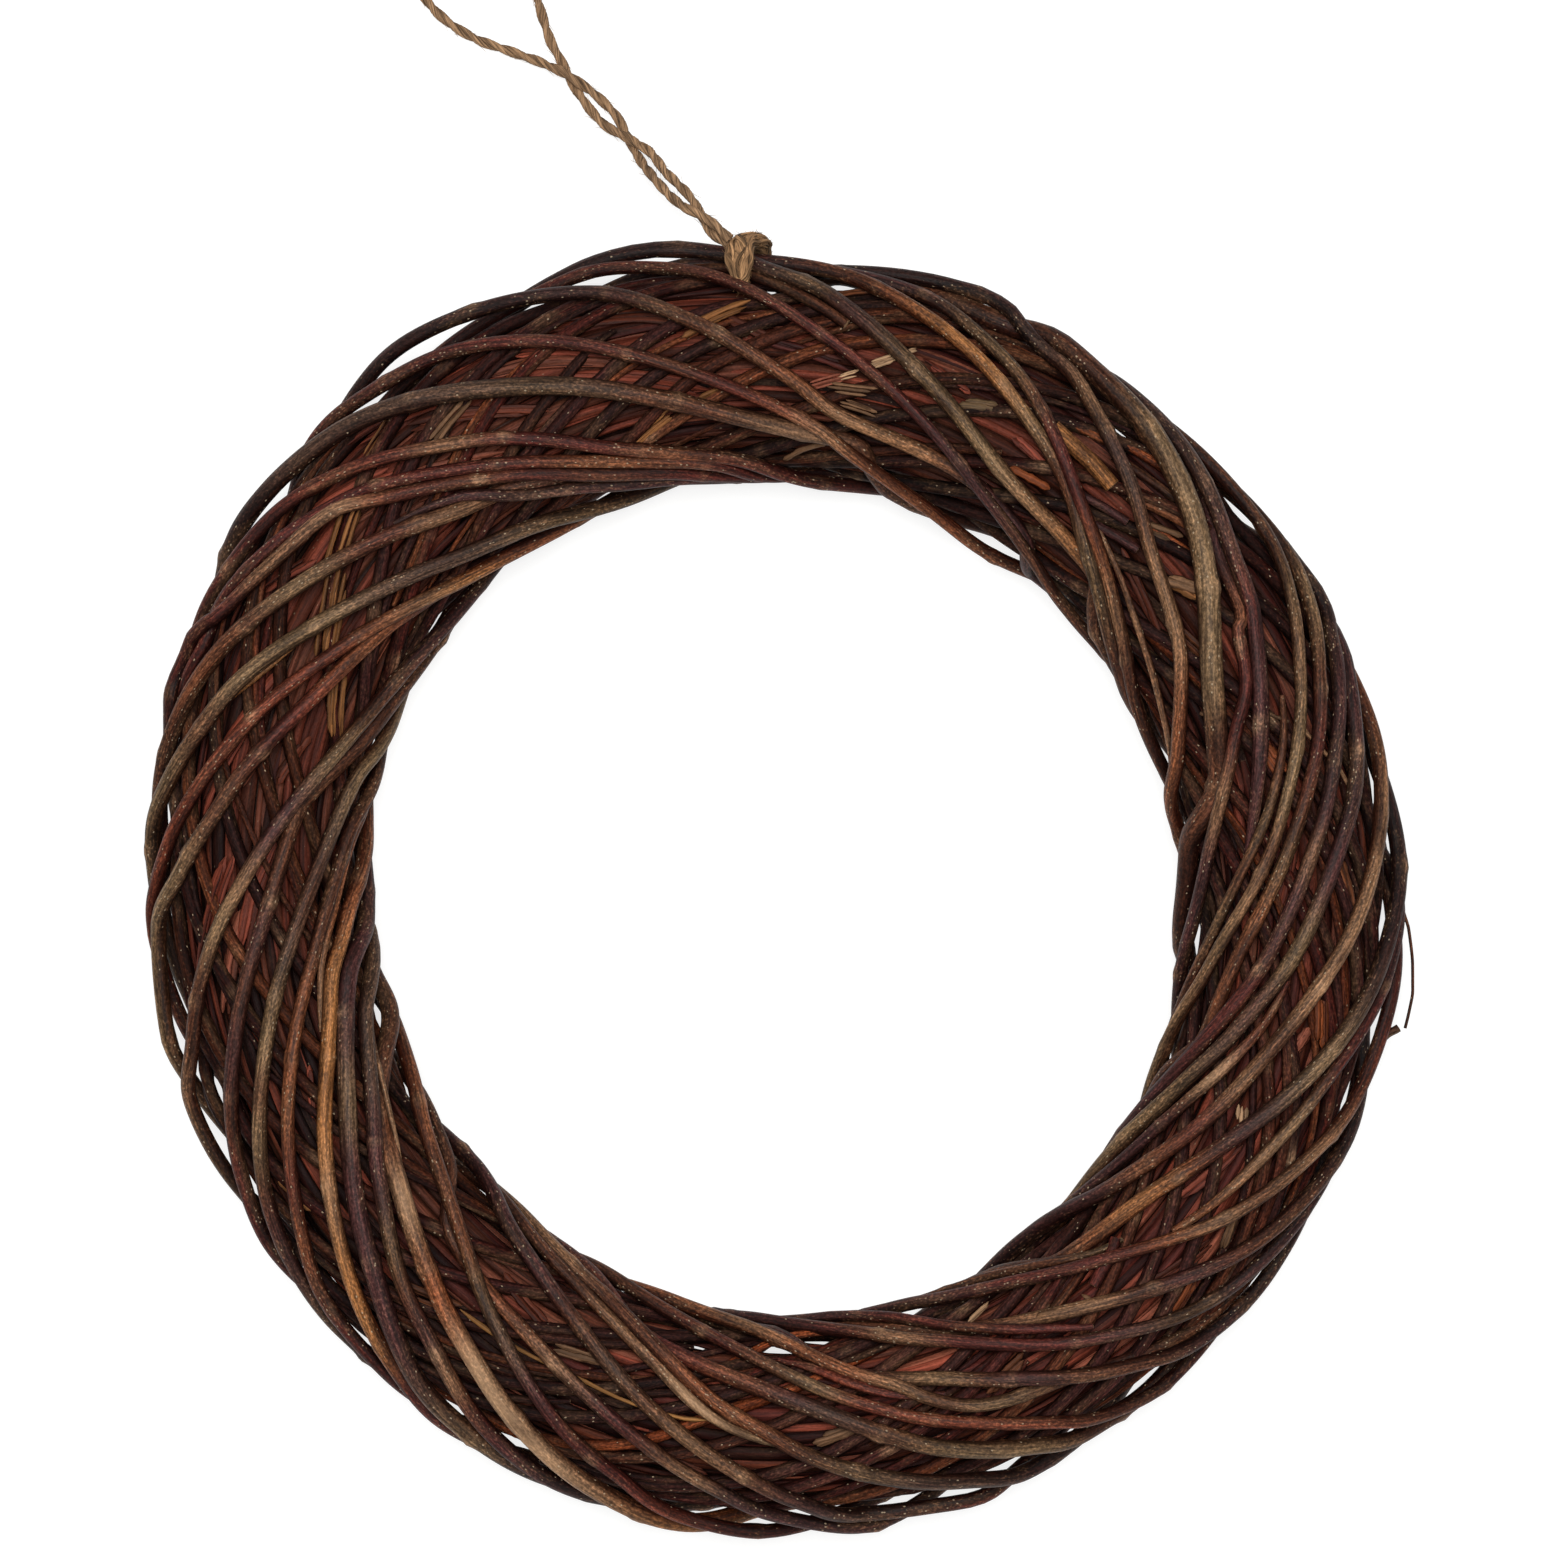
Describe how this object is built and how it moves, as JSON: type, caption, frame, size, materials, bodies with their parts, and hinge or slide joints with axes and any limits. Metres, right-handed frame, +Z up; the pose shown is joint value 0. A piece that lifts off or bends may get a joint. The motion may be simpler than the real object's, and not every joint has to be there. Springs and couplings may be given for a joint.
{
  "type": "wicker wreath",
  "caption": "Round wreath of brown rods wound in two directions over a ring of fine twigs, with a looped jute hanging cord.",
  "frame": {"origin": "on the surface that the wreath lies on, under the middle of the ring's outline, the cord left out", "axes": "+Z up, out of the wreath's front; +Y from the middle towards the hitch of the cord; +X to its right"},
  "size_m": [0.3964, 0.5414, 0.0578],
  "materials": {
    "core_twigs": "matte, split and bare twigs",
    "lower_rods": "matte bark, partly peeled",
    "outer_rods": "satin bark",
    "jute": "matte, hairy two-ply twine"
  },
  "bodies": {
    "root": {"core_ring": "core_twigs", "under_rod_01": "lower_rods", "under_rod_02": "lower_rods", "under_rod_03": "lower_rods", "under_rod_04": "lower_rods", "under_rod_05": "lower_rods", "under_rod_06": "lower_rods", "under_rod_07": "lower_rods", "under_rod_08": "lower_rods", "under_rod_09": "lower_rods", "under_rod_10": "lower_rods", "under_rod_11": "lower_rods", "under_rod_12": "lower_rods", "outer_rod_01": "outer_rods", "outer_rod_02": "outer_rods", "outer_rod_03": "outer_rods", "outer_rod_04": "outer_rods", "outer_rod_05": "outer_rods", "outer_rod_06": "outer_rods", "outer_rod_07": "outer_rods", "outer_rod_08": "outer_rods", "outer_rod_09": "outer_rods", "outer_rod_10": "outer_rods", "outer_rod_11": "outer_rods", "outer_rod_12": "outer_rods", "outer_rod_13": "outer_rods", "outer_rod_14": "outer_rods", "outer_rod_15": "outer_rods", "jute_hitch": "jute", "hanging_cord": "jute"}
  },
  "joints": []
}
